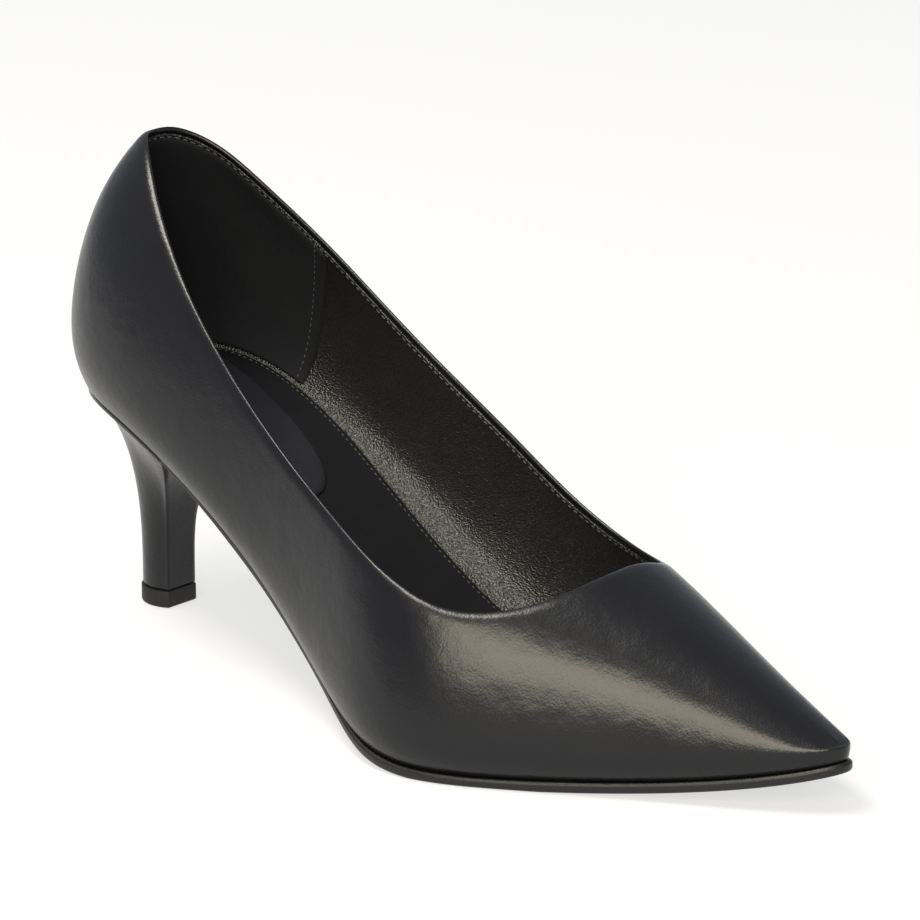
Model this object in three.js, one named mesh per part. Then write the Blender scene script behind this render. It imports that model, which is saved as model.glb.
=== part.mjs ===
// A pointed court shoe on a covered heel, right foot, standing empty on its sole.
// Millimetres. X runs from the heel to the toe, Y to the medial side, Z up from the floor.
import * as THREE from "three";

// Driving sizes.
const LENGTH = 243.5; // feather line, from the back of the seat to the toe tip
const BALL_WIDTH = 81; // across the feather line at the ball
const HEEL_HEIGHT = 61; // floor to feather line at the seat
const CROWN = 137; // floor to the last's ridge above the heel
const TOE_SPRING = 11; // rise of the feather line from the ball to the toe tip
const TOE_FALL = 0.6; // fall of the vamp's ridge in each millimetre towards the toe
const WALL = 1.8; // leather and lining together
const GAP = 0.3; // between two pieces that touch
const OUTSOLE_THICK = 2.6;
const INSOLE_THICK = 2;
const TREAD_FLAT = 0.3; // taken off the underside of the outsole where it lies on the floor
const SOLE_LIFT = OUTSOLE_THICK - TREAD_FLAT + GAP; // floor to feather line at the ball
const SEAT_SHARE = 0.272; // share of the last at which the heel's breast meets the sole

// The last, a row for each station from the back of the seat to the toe tip. "at" and "axis" are shares
// of the length, "swing" shifts the centre to the medial side, "lateral" and "medial" are half widths of
// the feather line as shares of the ball width, "rise" and "spring" are shares of the heel height and the
// toe spring, each tuck is the angle at which that side rolls under, "level" is how far above the
// feather line the side is widest, and "ridge" is the top as a share of the crown.
const LAST_COLUMNS = [
  "at", "axis", "swing", "lateral", "medial", "rise", "spring",
  "tuckLateral", "tuckMedial", "level", "ridge",
];
const LAST = [
  [0.0, 0.14, 2.5, 0.0, 0.0, 0.991, 0.0, 24, 24, 17.0, 1.0],
  [0.004, 0.152, 2.5, 0.173, 0.16, 1.0, 0.0, 24, 24, 16.0, 0.979],
  [0.053, 0.177, 2.5, 0.321, 0.296, 1.009, 0.0, 24, 24, 15.0, 0.942],
  [0.136, 0.209, 2.0, 0.383, 0.333, 0.955, 0.0, 23, 24, 13.5, 0.884],
  [0.234, 0.271, 0.5, 0.395, 0.333, 0.789, 0.0, 22, 28, 12.0, 0.842],
  [0.357, 0.366, -3.0, 0.389, 0.333, 0.5, 0.0, 20, 30, 11.0, 0.782],
  [0.476, 0.476, -6.0, 0.457, 0.395, 0.176, 0.0, 18, 28, 10.0, 0.726],
  [0.561, 0.561, -7.0, 0.547, 0.444, 0.014, 0.0, 18, 22, 9.0, 0.581],
  [0.641, 0.641, -5.5, 0.56, 0.444, 0.0, 0.0, 20, 20, 8.5, 0.432],
  [0.735, 0.735, -2.0, 0.42, 0.358, 0.0, 0.0, 22, 22, 7.5, 0.356],
  [0.83, 0.83, -0.5, 0.268, 0.257, 0.0, 0.153, 24, 24, 6.0, 0.266],
  [0.914, 0.91, 1.2, 0.157, 0.16, 0.0, 0.459, 26, 26, 4.5, 0.191],
  [0.973, 0.961, 3.5, 0.077, 0.078, 0.0, 0.784, 28, 28, 3.2, 0.142],
  [1.0, 0.988, 4.1, 0.0, 0.0, 0.0, 1.0, 28, 28, 3.0, 0.119],
];

// The topline of each side from the back of the collar to the middle of the throat: the share of the
// last, and how far round the section it lies, in degrees from the widest level to the ridge.
const TOPLINE = {
  lateral: [
    [0.0, 52], [0.047, 54], [0.104, 59], [0.174, 57.5], [0.247, 47], [0.314, 32.5],
    [0.386, 24.5], [0.469, 27], [0.565, 34], [0.634, 38], [0.682, 56], [0.697, 90],
  ],
  medial: [
    [0.0, 52], [0.044, 55.5], [0.103, 57.5], [0.176, 55], [0.268, 46], [0.36, 35.7],
    [0.457, 31], [0.55, 33.2], [0.61, 38.3], [0.662, 47], [0.692, 63], [0.697, 90],
  ],
};

const finish = (color, roughness) => new THREE.MeshStandardMaterial({ color, roughness, metalness: 0 });
const MATERIALS = {
  upper: finish("#17161a", 0.35),
  outsole: finish("#121113", 0.5),
  insole: finish("#1b1a1c", 0.7),
  heel_pad: finish("#1b1a1c", 0.7),
  heel: finish("#17161a", 0.35),
  top_piece: finish("#0e0e0f", 0.65),
};

const LATERAL = -1;
const MEDIAL = 1;
const radians = THREE.MathUtils.degToRad;
const lerp = THREE.MathUtils.lerp;
const smooth = (t) => THREE.MathUtils.smoothstep(t, 0, 1);

// A smooth curve near a row of values, for t from 0 to 1. A turned end keeps its value and runs straight
// through it; any other end is level there.
function curve(values, t, turnedStart = false, turnedEnd = false) {
  const n = values.length;
  const before = turnedStart ? 2 * values[0] - values[1] : values[1];
  const after = turnedEnd ? 2 * values[n - 1] - values[n - 2] : values[n - 2];
  const all = [before, ...values, after];
  const place = THREE.MathUtils.clamp(t, 0, 1) * (n - 1);
  const i = Math.min(Math.floor(place), n - 2);
  const f = place - i;
  const weights = [
    (1 - f) ** 3,
    3 * f ** 3 - 6 * f ** 2 + 4,
    -3 * f ** 3 + 3 * f ** 2 + 3 * f + 1,
    f ** 3,
  ];
  return weights.reduce((sum, w, k) => sum + w * all[i + k], 0) / 6;
}

function station(name, share) {
  const column = LAST_COLUMNS.indexOf(name);
  const turned = name === "lateral" || name === "medial";
  return curve(LAST.map((row) => row[column]), share, turned, turned);
}

const featherHeight = (share) =>
  SOLE_LIFT + (HEEL_HEIGHT - SOLE_LIFT) * station("rise", share) + TOE_SPRING * station("spring", share);

const tuckAngle = (side, share) => station(side === LATERAL ? "tuckLateral" : "tuckMedial", share);

// A point of the last's skin: a share along it, and an angle round the section from minus the tuck at the
// feather line through 0 at the widest level to 90 degrees on the ridge. The sections fan out round the
// toe, and fall with the ridge as they do.
function skin(side, share, angle) {
  const blendStart = 0.45;
  const blendSpan = 1.1;
  const phi = radians(angle);
  const tuck = radians(tuckAngle(side, share));
  const half = BALL_WIDTH * station(side === LATERAL ? "lateral" : "medial", share);
  const feather = featherHeight(share);
  const level = station("level", share);
  const ridge = CROWN * station("ridge", share);
  const below = level / Math.sin(tuck);
  const above = ridge - feather - level;
  const reach = (p) => lerp(below, above, smooth((p + blendStart) / blendSpan));
  const swell = reach(-tuck) * Math.sin(tuck);
  const height = ((swell + reach(phi) * Math.sin(phi)) * (ridge - feather)) / (swell + above);
  const spread = Math.cos(phi) / Math.cos(tuck);
  const axis = LENGTH * station("axis", share);
  const ahead = (LENGTH * station("at", share) - axis) * spread;
  const fall = TOE_FALL * Math.max(0, ahead) * Math.max(0, Math.sin(phi)) ** 2;
  const y = station("swing", share) + side * half * spread;
  return new THREE.Vector3(axis + ahead, y, feather + height - fall);
}

const featherPoint = (side, share) => skin(side, share, -tuckAngle(side, share));

// The level direction out of the shoe, square to the feather line.
function outward(side, share) {
  if (share <= 0) return new THREE.Vector3(-1, 0, 0);
  if (share >= 1) return new THREE.Vector3(1, 0, 0);
  const step = 1e-3;
  const behind = featherPoint(side, Math.max(share - step, 0));
  const ahead = featherPoint(side, Math.min(share + step, 1));
  return new THREE.Vector3(ahead.y - behind.y, behind.x - ahead.x, 0).multiplyScalar(-side).normalize();
}

function topline(side, t) {
  const rows = TOPLINE[side === LATERAL ? "lateral" : "medial"];
  return {
    share: curve(rows.map((row) => row[0]), t, true, false),
    angle: curve(rows.map((row) => row[1]), t, false, true),
  };
}

function meshFrom(name, positions, faces) {
  const geometry = new THREE.BufferGeometry();
  const numbers = positions.flatMap((p) => p.toArray());
  geometry.setAttribute("position", new THREE.Float32BufferAttribute(numbers, 3));
  geometry.setIndex(faces.flat());
  geometry.computeVertexNormals();
  const mesh = new THREE.Mesh(geometry, MATERIALS[name]);
  mesh.name = name;
  return mesh;
}

// The upper's outer face as lines up the wall, first behind the topline and then over the vamp. The two
// sides share the line up the heel, the ridge of the vamp and the line down the toe.
function upperFace() {
  const openLines = 34;
  const vampLines = 20;
  const levels = 11;
  const evenSpacing = 0.6;
  const throat = topline(LATERAL, 1).share;
  const points = [];
  const faces = [];
  const shared = new Map();
  const vertex = (key, point) => {
    if (!shared.has(key)) {
      shared.set(key, points.length);
      points.push(point);
    }
    return shared.get(key);
  };
  const lastLine = openLines + vampLines;
  for (const side of [LATERAL, MEDIAL]) {
    const lines = [];
    for (let i = 0; i <= lastLine; i++) {
      const open = i <= openLines;
      const t = i / openLines;
      const edge = open
        ? topline(side, t)
        : { share: lerp(throat, 1, (i - openLines) / vampLines), angle: 90 };
      const foot = open ? lerp(edge.share, throat * t, evenSpacing) : edge.share;
      const line = [];
      for (let j = 0; j <= levels; j++) {
        const share = lerp(foot, edge.share, j / levels);
        const angle = lerp(-tuckAngle(side, share), edge.angle, j / levels);
        const onCentre = i === 0 || i === lastLine || (j === levels && i >= openLines);
        const key = (onCentre ? "centre" : side) + " " + i + " " + j;
        line.push(vertex(key, skin(side, share, angle)));
      }
      lines.push(line);
    }
    for (let i = 0; i < lastLine; i++) {
      for (let j = 0; j < levels; j++) {
        const corners = [lines[i][j], lines[i + 1][j], lines[i + 1][j + 1], lines[i][j + 1]];
        if (side === MEDIAL) corners.reverse();
        const [a, b, c, d] = corners;
        const firstIsShorter = points[a].distanceTo(points[c]) < points[b].distanceTo(points[d]);
        faces.push(...(firstIsShorter ? [[a, b, c], [a, c, d]] : [[a, b, d], [b, c, d]]));
      }
    }
  }
  const feet = new Set(
    [...shared].filter(([key]) => key.endsWith(" 0")).map(([, index]) => index),
  );
  return { points, faces, feet };
}

// The upper is that face and the same face set in by the wall, joined round every open edge. At the feather
// line it is set in level, so that the wall stands flat on the sole.
function makeUpper() {
  const { points, faces, feet } = upperFace();
  const normals = meshFrom("", points, faces).geometry.getAttribute("normal");
  const inner = points.map((point, k) => {
    const normal = new THREE.Vector3().fromBufferAttribute(normals, k);
    if (feet.has(k)) normal.setZ(0).normalize();
    return point.clone().addScaledVector(normal, -WALL);
  });
  const count = points.length;
  const edges = new Set(faces.flatMap(([a, b, c]) => [a + " " + b, b + " " + c, c + " " + a]));
  const rim = [...edges]
    .map((edge) => edge.split(" ").map(Number))
    .filter(([a, b]) => !edges.has(b + " " + a))
    .flatMap(([a, b]) => [[b, a, a + count], [b, a + count, b + count]]);
  const inside = faces.map(([a, b, c]) => [c + count, b + count, a + count]);
  return meshFrom("upper", [...points, ...inner], [...faces, ...inside, ...rim]);
}

// Rings of equal count, from the lowest up, each running forward on the lateral side and back on the medial
// side, skinned and closed at both ends by strips across.
function loft(name, rings) {
  const count = rings[0].length;
  const faces = [];
  for (let k = 0; k + 1 < rings.length; k++) {
    for (let i = 0; i < count; i++) {
      const a = k * count + i;
      const b = k * count + ((i + 1) % count);
      faces.push([a, b, b + count], [a, b + count, a + count]);
    }
  }
  const top = (rings.length - 1) * count;
  for (let low = 0, high = count - 1; high - low > 1; ) {
    const first = [low, low + 1, high];
    low += 1;
    const strip = [first];
    if (high - low > 1) {
      strip.push([low, high - 1, high]);
      high -= 1;
    }
    for (const [a, b, c] of strip) faces.push([a + top, b + top, c + top], [c, b, a]);
  }
  return meshFrom(name, rings.flat(), faces);
}

// The feather line between two shares of the last, moved outwards in plan, as a ring for loft.
function featherRing(from, to, steps, outwards, height) {
  const pointAt = (side, share) =>
    featherPoint(side, share).addScaledVector(outward(side, share), outwards(share)).setZ(height(share));
  const shares = Array.from({ length: steps + 1 }, (_, i) => lerp(from, to, i / steps));
  const inner = shares.filter((share) => share > 0 && share < 1);
  const back = from === 0 ? [pointAt(LATERAL, 0)] : [];
  const tip = to === 1 ? [pointAt(LATERAL, 1)] : [];
  return [
    ...back,
    ...inner.map((share) => pointAt(LATERAL, share)),
    ...tip,
    ...inner.reverse().map((share) => pointAt(MEDIAL, share)),
  ];
}

// The outsole runs from the heel's breast to the toe, flat on the floor under the ball, thin where it meets the
// heel, and stands out past the upper round the forepart only.
function makeOutsole() {
  const steps = 44;
  const waistInset = 0.6;
  const proud = 1.1;
  const bevel = 0.5;
  const thinEnd = 1.5;
  const thinSpan = 0.1;
  const weltStart = 0.44;
  const weltSpan = 0.12;
  const welt = (share) => lerp(-waistInset, proud, smooth((share - weltStart) / weltSpan));
  const top = (share) => featherHeight(share) - GAP;
  const thick = (share) => lerp(thinEnd, OUTSOLE_THICK, smooth((share - SEAT_SHARE) / thinSpan));
  const bottom = (share) => Math.max(0, top(share) - thick(share));
  const from = SEAT_SHARE + GAP / LENGTH;
  const ring = (outwards, height) => featherRing(from, 1, steps, outwards, height);
  return loft("outsole", [
    ring((share) => welt(share) - bevel, bottom),
    ring(welt, (share) => Math.min(bottom(share) + bevel, top(share) - bevel)),
    ring(welt, top),
  ]);
}

function makeInsole() {
  const steps = 44;
  const toeShare = 0.955;
  const inset = () => -(WALL + GAP);
  const ring = (height) => featherRing(0, toeShare, steps, inset, height);
  return loft("insole", [
    ring(featherHeight),
    ring((share) => featherHeight(share) + INSOLE_THICK),
  ]);
}

// The sock pad tapers forward under the heel and ends in a round nose.
function makeHeelPad() {
  const steps = 24;
  const thick = 1.2;
  const backShare = 0.115;
  const noseShare = 0.355;
  const backHalf = 17;
  const noseHalf = 9;
  const roundness = 3.2;
  const ring = (inset, lift) => {
    const sides = [LATERAL, MEDIAL].map((side) =>
      Array.from({ length: steps + 1 }, (_, i) => {
        const along = (1 - Math.cos((Math.PI * i) / steps)) / 2;
        const share = lerp(backShare + inset / LENGTH, noseShare - inset / LENGTH, along);
        const roundEnds = (1 - Math.abs(2 * along - 1) ** roundness) ** 0.5;
        const half = (lerp(backHalf, noseHalf, along) - inset) * roundEnds;
        const y = station("swing", share) + side * half;
        return new THREE.Vector3(LENGTH * station("at", share), y, featherHeight(share) + lift);
      }),
    );
    return [...sides[0], ...sides[1].reverse().slice(1, -1)];
  };
  const base = INSOLE_THICK + GAP;
  return loft("heel_pad", [ring(0, base), ring(0, base + thick / 2), ring(1, base + thick)]);
}

// The D of the top piece, from the middle of its back round each side to the corner of the flat breast.
const topPiece = { breastX: 22.9, halfWidth: 6.5, depth: 12.5, breastHalf: 5, middleY: 0.5, height: 4.5 };

function heelFoot(side, along, outwards) {
  const turn = Math.PI - Math.asin(topPiece.breastHalf / topPiece.halfWidth);
  const radius = topPiece.depth / (1 - Math.cos(turn));
  const centreX = topPiece.breastX - topPiece.depth + radius;
  const angle = turn * along;
  return new THREE.Vector3(
    centreX - (radius + outwards) * Math.cos(angle),
    topPiece.middleY + side * (topPiece.halfWidth + outwards) * Math.sin(angle),
    0,
  );
}

// A ring for loft from a function of the side and the share of the way from the back to the breast's corner.
function heelRing(steps, pointAt) {
  const shares = Array.from({ length: steps }, (_, i) => (i + 1) / steps);
  return [
    pointAt(LATERAL, 0),
    ...shares.map((along) => pointAt(LATERAL, along)),
    ...shares.reverse().map((along) => pointAt(MEDIAL, along)),
  ];
}

// The heel flares from its foot to the seat under a thin lip, by a power that is higher at the breast,
// where it stays slender longer.
function makeHeel() {
  const steps = 16;
  const levels = 12;
  const lip = 1.5;
  const seatInset = 0.5;
  const footInset = 0.4;
  const backFlare = 2.4;
  const breastFlare = 4.2;
  const flareTurn = 1.4;
  const footLift = topPiece.height + GAP;
  const flare = (along) => lerp(backFlare, breastFlare, smooth(along * flareTurn));
  const seat = (side, along) => {
    const share = SEAT_SHARE * along;
    const edge = featherPoint(side, share).addScaledVector(outward(side, share), -seatInset);
    return edge.setZ(featherHeight(share) - GAP);
  };
  const ringAt = (rise) =>
    heelRing(steps, (side, along) => {
      const foot = heelFoot(side, along, -footInset);
      const top = seat(side, along);
      const height = lerp(footLift, top.z - lip, rise);
      return foot.lerp(top, rise ** flare(along)).setZ(height);
    });
  const rings = Array.from({ length: levels + 1 }, (_, k) => ringAt(k / levels));
  return loft("heel", [...rings, heelRing(steps, seat)]);
}

function makeTopPiece() {
  const steps = 16;
  const edge = 0.5;
  const ring = (outwards, height) =>
    heelRing(steps, (side, along) => heelFoot(side, along, outwards).setZ(height));
  return loft("top_piece", [ring(-edge, 0), ring(0, edge), ring(0, topPiece.height)]);
}

const heelUnit = new THREE.Group();
heelUnit.add(makeHeel(), makeTopPiece());
const shoe = new THREE.Group();
shoe.add(makeUpper(), makeOutsole(), makeInsole(), makeHeelPad(), heelUnit);

// The frame's origin is under the middle of the whole shoe, on the floor.
const box = new THREE.Box3().setFromObject(shoe);
shoe.position.set(-(box.min.x + box.max.x) / 2, -(box.min.y + box.max.y) / 2, 0);

export default shoe;
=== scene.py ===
"""A right court shoe in smooth black leather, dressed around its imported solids.

Shapes are worked out in millimetres on the shoe's last and placed in metres in the frame.
"""

import math

import bmesh
import bpy
import numpy as np
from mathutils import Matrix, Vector


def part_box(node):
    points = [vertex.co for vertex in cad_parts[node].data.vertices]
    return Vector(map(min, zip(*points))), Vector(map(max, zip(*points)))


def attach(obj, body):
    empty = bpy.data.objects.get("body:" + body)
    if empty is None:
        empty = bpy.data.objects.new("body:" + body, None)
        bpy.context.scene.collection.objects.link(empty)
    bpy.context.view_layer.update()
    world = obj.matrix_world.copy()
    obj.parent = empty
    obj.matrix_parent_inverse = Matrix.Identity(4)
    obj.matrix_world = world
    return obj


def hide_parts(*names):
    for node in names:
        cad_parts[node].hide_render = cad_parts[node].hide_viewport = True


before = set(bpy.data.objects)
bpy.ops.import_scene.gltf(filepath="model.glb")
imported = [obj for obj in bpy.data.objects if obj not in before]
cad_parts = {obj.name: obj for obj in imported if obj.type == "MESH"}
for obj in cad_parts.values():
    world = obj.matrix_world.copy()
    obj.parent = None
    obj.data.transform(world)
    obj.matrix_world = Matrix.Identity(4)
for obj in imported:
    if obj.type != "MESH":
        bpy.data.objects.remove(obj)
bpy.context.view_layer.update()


# Camera
# The photograph was taken from the lateral side and ahead of the ball, a little above the shoe, from
# about one and a half metres. The camera keeps that direction and distance and frames the one shoe.
MILLIMETRE = 0.001
VIEW_AZIMUTH = math.radians(43.2)
VIEW_ELEVATION = math.radians(19.2)
VIEW_DISTANCE = 1.5
SENSOR = 36.0
FOCAL_PIXELS = 3660.0  # in the photograph
FRAMED_PIXELS = 556.0  # width of the stretch of the photograph that the frame keeps
AIM_ACROSS = 7.3  # from the ball's centre to the middle of the frame, in millimetres
AIM_UP = 27.6
BALL_CENTRE = Vector((111.5, 0.0, 30.0))  # on the last

# The top piece's lowest corner on the last gives the last's place in the frame.
TOP_PIECE_CORNER = Vector((10.4, -6.0, 0.0))
last_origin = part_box("top_piece")[0] - TOP_PIECE_CORNER * MILLIMETRE


def in_frame(points):
    return np.asarray(points) * MILLIMETRE + np.array(last_origin)


view_right = Vector((math.cos(VIEW_AZIMUTH), math.sin(VIEW_AZIMUTH), 0))
view_back = Vector(
    (
        math.sin(VIEW_AZIMUTH) * math.cos(VIEW_ELEVATION),
        -math.cos(VIEW_AZIMUTH) * math.cos(VIEW_ELEVATION),
        math.sin(VIEW_ELEVATION),
    )
)
view_up = view_back.cross(view_right)
aim = Vector(in_frame(BALL_CENTRE + view_right * AIM_ACROSS + view_up * AIM_UP))
view_point = Vector(in_frame(BALL_CENTRE)) + view_back * VIEW_DISTANCE
camera_data = bpy.data.cameras.new("camera")
camera_data.sensor_width = SENSOR
camera_data.lens = SENSOR * FOCAL_PIXELS / FRAMED_PIXELS
camera = bpy.data.objects.new("camera", camera_data)
camera.location = view_point
camera.rotation_euler = (view_point - aim).to_track_quat("Z", "Y").to_euler()
bpy.context.scene.collection.objects.link(camera)
bpy.context.scene.camera = camera
bpy.context.scene.view_settings.view_transform = "Standard"


# Floor and light
# A plain studio floor lit from below, so that it stays white with hardly a shadow, under a pale sky. One
# warm softbox stands low on the lateral side, for the broad light on the vamp, and one hangs high for the
# bright line along the topline.
FLOOR_SIZE = 12.0
FLOOR_DROP = 0.0002
FLOOR_GREY = (0.24, 0.24, 0.24)
FLOOR_PALE = (0.26, 0.26, 0.26)
FLOOR_GLOW = 0.65
SKY = (0.88, 0.92, 1.0)
SKY_STRENGTH = 0.5
WARM = (1.0, 0.92, 0.72)
CREAM = (1.0, 0.95, 0.84)
SOFTBOXES = {
    # name: (azimuth and elevation from the aim, distance, width, height, watts, colour)
    "toe_softbox": (-58.0, 26.0, 1.5, 0.95, 0.75, 21.0, WARM),
    "side_softbox": (-115.0, 70.0, 1.5, 0.85, 0.45, 25.0, CREAM),
}


class Wire:
    """One shader socket. Arithmetic on it adds Math nodes, and node() adds any other kind."""

    def __init__(self, tree, socket):
        self.tree = tree
        self.socket = socket

    def node(self, kind, settings, inputs, output=0):
        made = self.tree.nodes.new(kind)
        for name, value in settings.items():
            setattr(made, name, value)
        for name, value in inputs.items():
            if isinstance(value, Wire):
                self.tree.links.new(value.socket, made.inputs[name])
            else:
                made.inputs[name].default_value = value
        return Wire(self.tree, made.outputs[output])

    def math(self, operation, first, second):
        return self.node("ShaderNodeMath", {"operation": operation}, {0: first, 1: second})

    def __add__(self, other):
        return self.math("ADD", self, other)

    def __sub__(self, other):
        return self.math("SUBTRACT", self, other)

    def __rsub__(self, other):
        return self.math("SUBTRACT", other, self)

    def __mul__(self, other):
        return self.math("MULTIPLY", self, other)

    __radd__ = __add__
    __rmul__ = __mul__

    def clamped(self):
        return self.node("ShaderNodeClamp", {}, {0: self})

    def noise(self, size, detail=2.0, stretch=(1, 1, 1)):
        """Noise whose blotches measure size millimetres."""
        scaled = self.node("ShaderNodeMapping", {}, {"Vector": self, "Scale": stretch})
        scale = 1 / (size * MILLIMETRE)
        return self.node("ShaderNodeTexNoise", {}, {"Vector": scaled, "Scale": scale, "Detail": detail})

    def cells(self, size, stretch=(1, 1, 1)):
        """Rounded cells of that size in millimetres, 0 at their middles."""
        scaled = self.node("ShaderNodeMapping", {}, {"Vector": self, "Scale": stretch})
        inputs = {"Vector": scaled, "Scale": 1 / (size * MILLIMETRE), "Smoothness": 0.4}
        return self.node("ShaderNodeTexVoronoi", {"feature": "SMOOTH_F1"}, inputs)

    def bump(self, height, strength):
        """A normal for heights in millimetres."""
        inputs = {"Height": height, "Distance": MILLIMETRE, "Strength": strength}
        return self.node("ShaderNodeBump", {}, inputs)

    def part(self, axis):
        """One coordinate, 0 for x to 2 for z."""
        return self.node("ShaderNodeSeparateXYZ", {}, {0: self}, axis)

    def tint(self, dark, light, share):
        inputs = {"Factor": share, 6: (*dark, 1), 7: (*light, 1)}
        return self.node("ShaderNodeMix", {"data_type": "RGBA"}, inputs, output=2)


def material(name, constants, formula):
    """A Principled material. The formula gets the object's coordinates and returns what varies."""
    made = bpy.data.materials.new(name)
    made.use_nodes = True
    tree = made.node_tree
    shader = tree.nodes["Principled BSDF"]
    for socket, value in constants.items():
        shader.inputs[socket].default_value = value
    coordinates = tree.nodes.new("ShaderNodeTexCoord")
    place = Wire(tree, coordinates.outputs["Object"])
    for socket, value in formula(place).items():
        tree.links.new(value.socket, shader.inputs[socket])
    return made


def floor_finish(place):
    mottle = place.noise(400.0)
    return {"Base Color": place.tint(FLOOR_GREY, FLOOR_PALE, mottle)}


floor_constants = {
    "Roughness": 0.9,
    "Specular IOR Level": 0.1,
    "Emission Color": (1, 1, 1, 1),
    "Emission Strength": FLOOR_GLOW,
}
floor_material = material("lit_pale_floor", floor_constants, floor_finish)
floor_half = FLOOR_SIZE / 2
floor_mesh = bpy.data.meshes.new("floor")
floor_mesh.from_pydata(
    [(x * floor_half, y * floor_half, -FLOOR_DROP) for x, y in ((-1, -1), (1, -1), (1, 1), (-1, 1))],
    [],
    [(0, 1, 2, 3)],
)
floor_mesh.materials.append(floor_material)
floor = bpy.data.objects.new("floor", floor_mesh)
bpy.context.scene.collection.objects.link(floor)

world = bpy.data.worlds.new("white_sky")
world.use_nodes = True
world.node_tree.nodes["Background"].inputs["Color"].default_value = (*SKY, 1)
world.node_tree.nodes["Background"].inputs["Strength"].default_value = SKY_STRENGTH
bpy.context.scene.world = world

for light_name, (azimuth, elevation, distance, width, height, watts, colour) in SOFTBOXES.items():
    level_way = math.cos(math.radians(elevation))
    way = Vector(
        (
            level_way * math.cos(math.radians(azimuth)),
            level_way * math.sin(math.radians(azimuth)),
            math.sin(math.radians(elevation)),
        )
    )
    light_data = bpy.data.lights.new(light_name, "AREA")
    light_data.shape = "RECTANGLE"
    light_data.size = width
    light_data.size_y = height
    light_data.energy = watts
    light_data.color = colour
    light = bpy.data.objects.new(light_name, light_data)
    light.location = aim + way * distance
    light.rotation_euler = way.to_track_quat("Z", "Y").to_euler()
    bpy.context.scene.collection.objects.link(light)


# Upper
# One sheet of smooth black calf, a millimetre thick, lasted over the shoe's last and turned in over the
# topline. The last is a smooth surface that follows a row of stations, as the solids have it.
LENGTH = 243.5
BALL_WIDTH = 81.0
HEEL_HEIGHT = 61.0
CROWN = 137.0
TOE_SPRING = 11.0
TOE_FALL = 0.6
WALL = 1.8
GAP = 0.3
OUTSOLE_THICK = 2.6
INSOLE_THICK = 2.0
TREAD_FLAT = 0.3
SOLE_LIFT = OUTSOLE_THICK - TREAD_FLAT + GAP
SEAT_SHARE = 0.272

# "at", "axis": shares of the length. "swing": millimetres to the medial side. "lateral", "medial": half
# widths as shares of the ball width. "rise", "spring": shares of the heel height and the toe spring.
# Tucks are in degrees, "level" in millimetres, and "ridge" is a share of the crown.
LAST_COLUMNS = "at axis swing lateral medial rise spring tuck_lateral tuck_medial level ridge".split()
LAST = np.array(
    [
        [0.0, 0.14, 2.5, 0.0, 0.0, 0.991, 0.0, 24, 24, 17.0, 1.0],
        [0.004, 0.152, 2.5, 0.173, 0.16, 1.0, 0.0, 24, 24, 16.0, 0.979],
        [0.053, 0.177, 2.5, 0.321, 0.296, 1.009, 0.0, 24, 24, 15.0, 0.942],
        [0.136, 0.209, 2.0, 0.383, 0.333, 0.955, 0.0, 23, 24, 13.5, 0.884],
        [0.234, 0.271, 0.5, 0.395, 0.333, 0.789, 0.0, 22, 28, 12.0, 0.842],
        [0.357, 0.366, -3.0, 0.389, 0.333, 0.5, 0.0, 20, 30, 11.0, 0.782],
        [0.476, 0.476, -6.0, 0.457, 0.395, 0.176, 0.0, 18, 28, 10.0, 0.726],
        [0.561, 0.561, -7.0, 0.547, 0.444, 0.014, 0.0, 18, 22, 9.0, 0.581],
        [0.641, 0.641, -5.5, 0.56, 0.444, 0.0, 0.0, 20, 20, 8.5, 0.432],
        [0.735, 0.735, -2.0, 0.42, 0.358, 0.0, 0.0, 22, 22, 7.5, 0.356],
        [0.83, 0.83, -0.5, 0.268, 0.257, 0.0, 0.153, 24, 24, 6.0, 0.266],
        [0.914, 0.91, 1.2, 0.157, 0.16, 0.0, 0.459, 26, 26, 4.5, 0.191],
        [0.973, 0.961, 3.5, 0.077, 0.078, 0.0, 0.784, 28, 28, 3.2, 0.142],
        [1.0, 0.988, 4.1, 0.0, 0.0, 0.0, 1.0, 28, 28, 3.0, 0.119],
    ]
)
LATERAL = -1
MEDIAL = 1
SIDES = (LATERAL, MEDIAL)

# Each side's topline from the back of the collar to the throat: share of the last, and degrees round it.
TOPLINE = {
    LATERAL: np.array(
        [
            [0.0, 54], [0.047, 57.5], [0.104, 60], [0.174, 57.5], [0.247, 47], [0.314, 32.5],
            [0.386, 24.5], [0.469, 27], [0.565, 34], [0.634, 38], [0.682, 56], [0.697, 90],
        ]
    ),
    MEDIAL: np.array(
        [
            [0.0, 54.5], [0.044, 56.5], [0.103, 57.5], [0.176, 55], [0.268, 46], [0.36, 35.7],
            [0.457, 31], [0.55, 33.2], [0.61, 38.3], [0.662, 47], [0.692, 63], [0.692, 90],
        ]
    ),
}


def mix(a, b, share):
    return a + (b - a) * share


def ease(t):
    t = np.clip(t, 0, 1)
    return t * t * (3 - 2 * t)


def curve(values, t, turned_start=False, turned_end=False):
    """A smooth curve near a row of values. A turned end runs straight through its value."""
    before = 2 * values[0] - values[1] if turned_start else values[1]
    after = 2 * values[-1] - values[-2] if turned_end else values[-2]
    row = np.concatenate([[before], values, [after]])
    place = np.clip(t, 0, 1) * (len(values) - 1)
    i = np.minimum(place.astype(int), len(values) - 2)
    f = place - i
    weights = ((1 - f) ** 3, 3 * f**3 - 6 * f**2 + 4, -3 * f**3 + 3 * f**2 + 3 * f + 1, f**3)
    return sum(weight * row[i + k] for k, weight in enumerate(weights)) / 6


def station(name, share):
    turned = name in ("lateral", "medial")
    return curve(LAST[:, LAST_COLUMNS.index(name)], np.asarray(share, float), turned, turned)


def side_station(side, share):
    """Half width in millimetres and tuck in degrees of one side."""
    name = "lateral" if side == LATERAL else "medial"
    return BALL_WIDTH * station(name, share), station("tuck_" + name, share)


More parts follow.
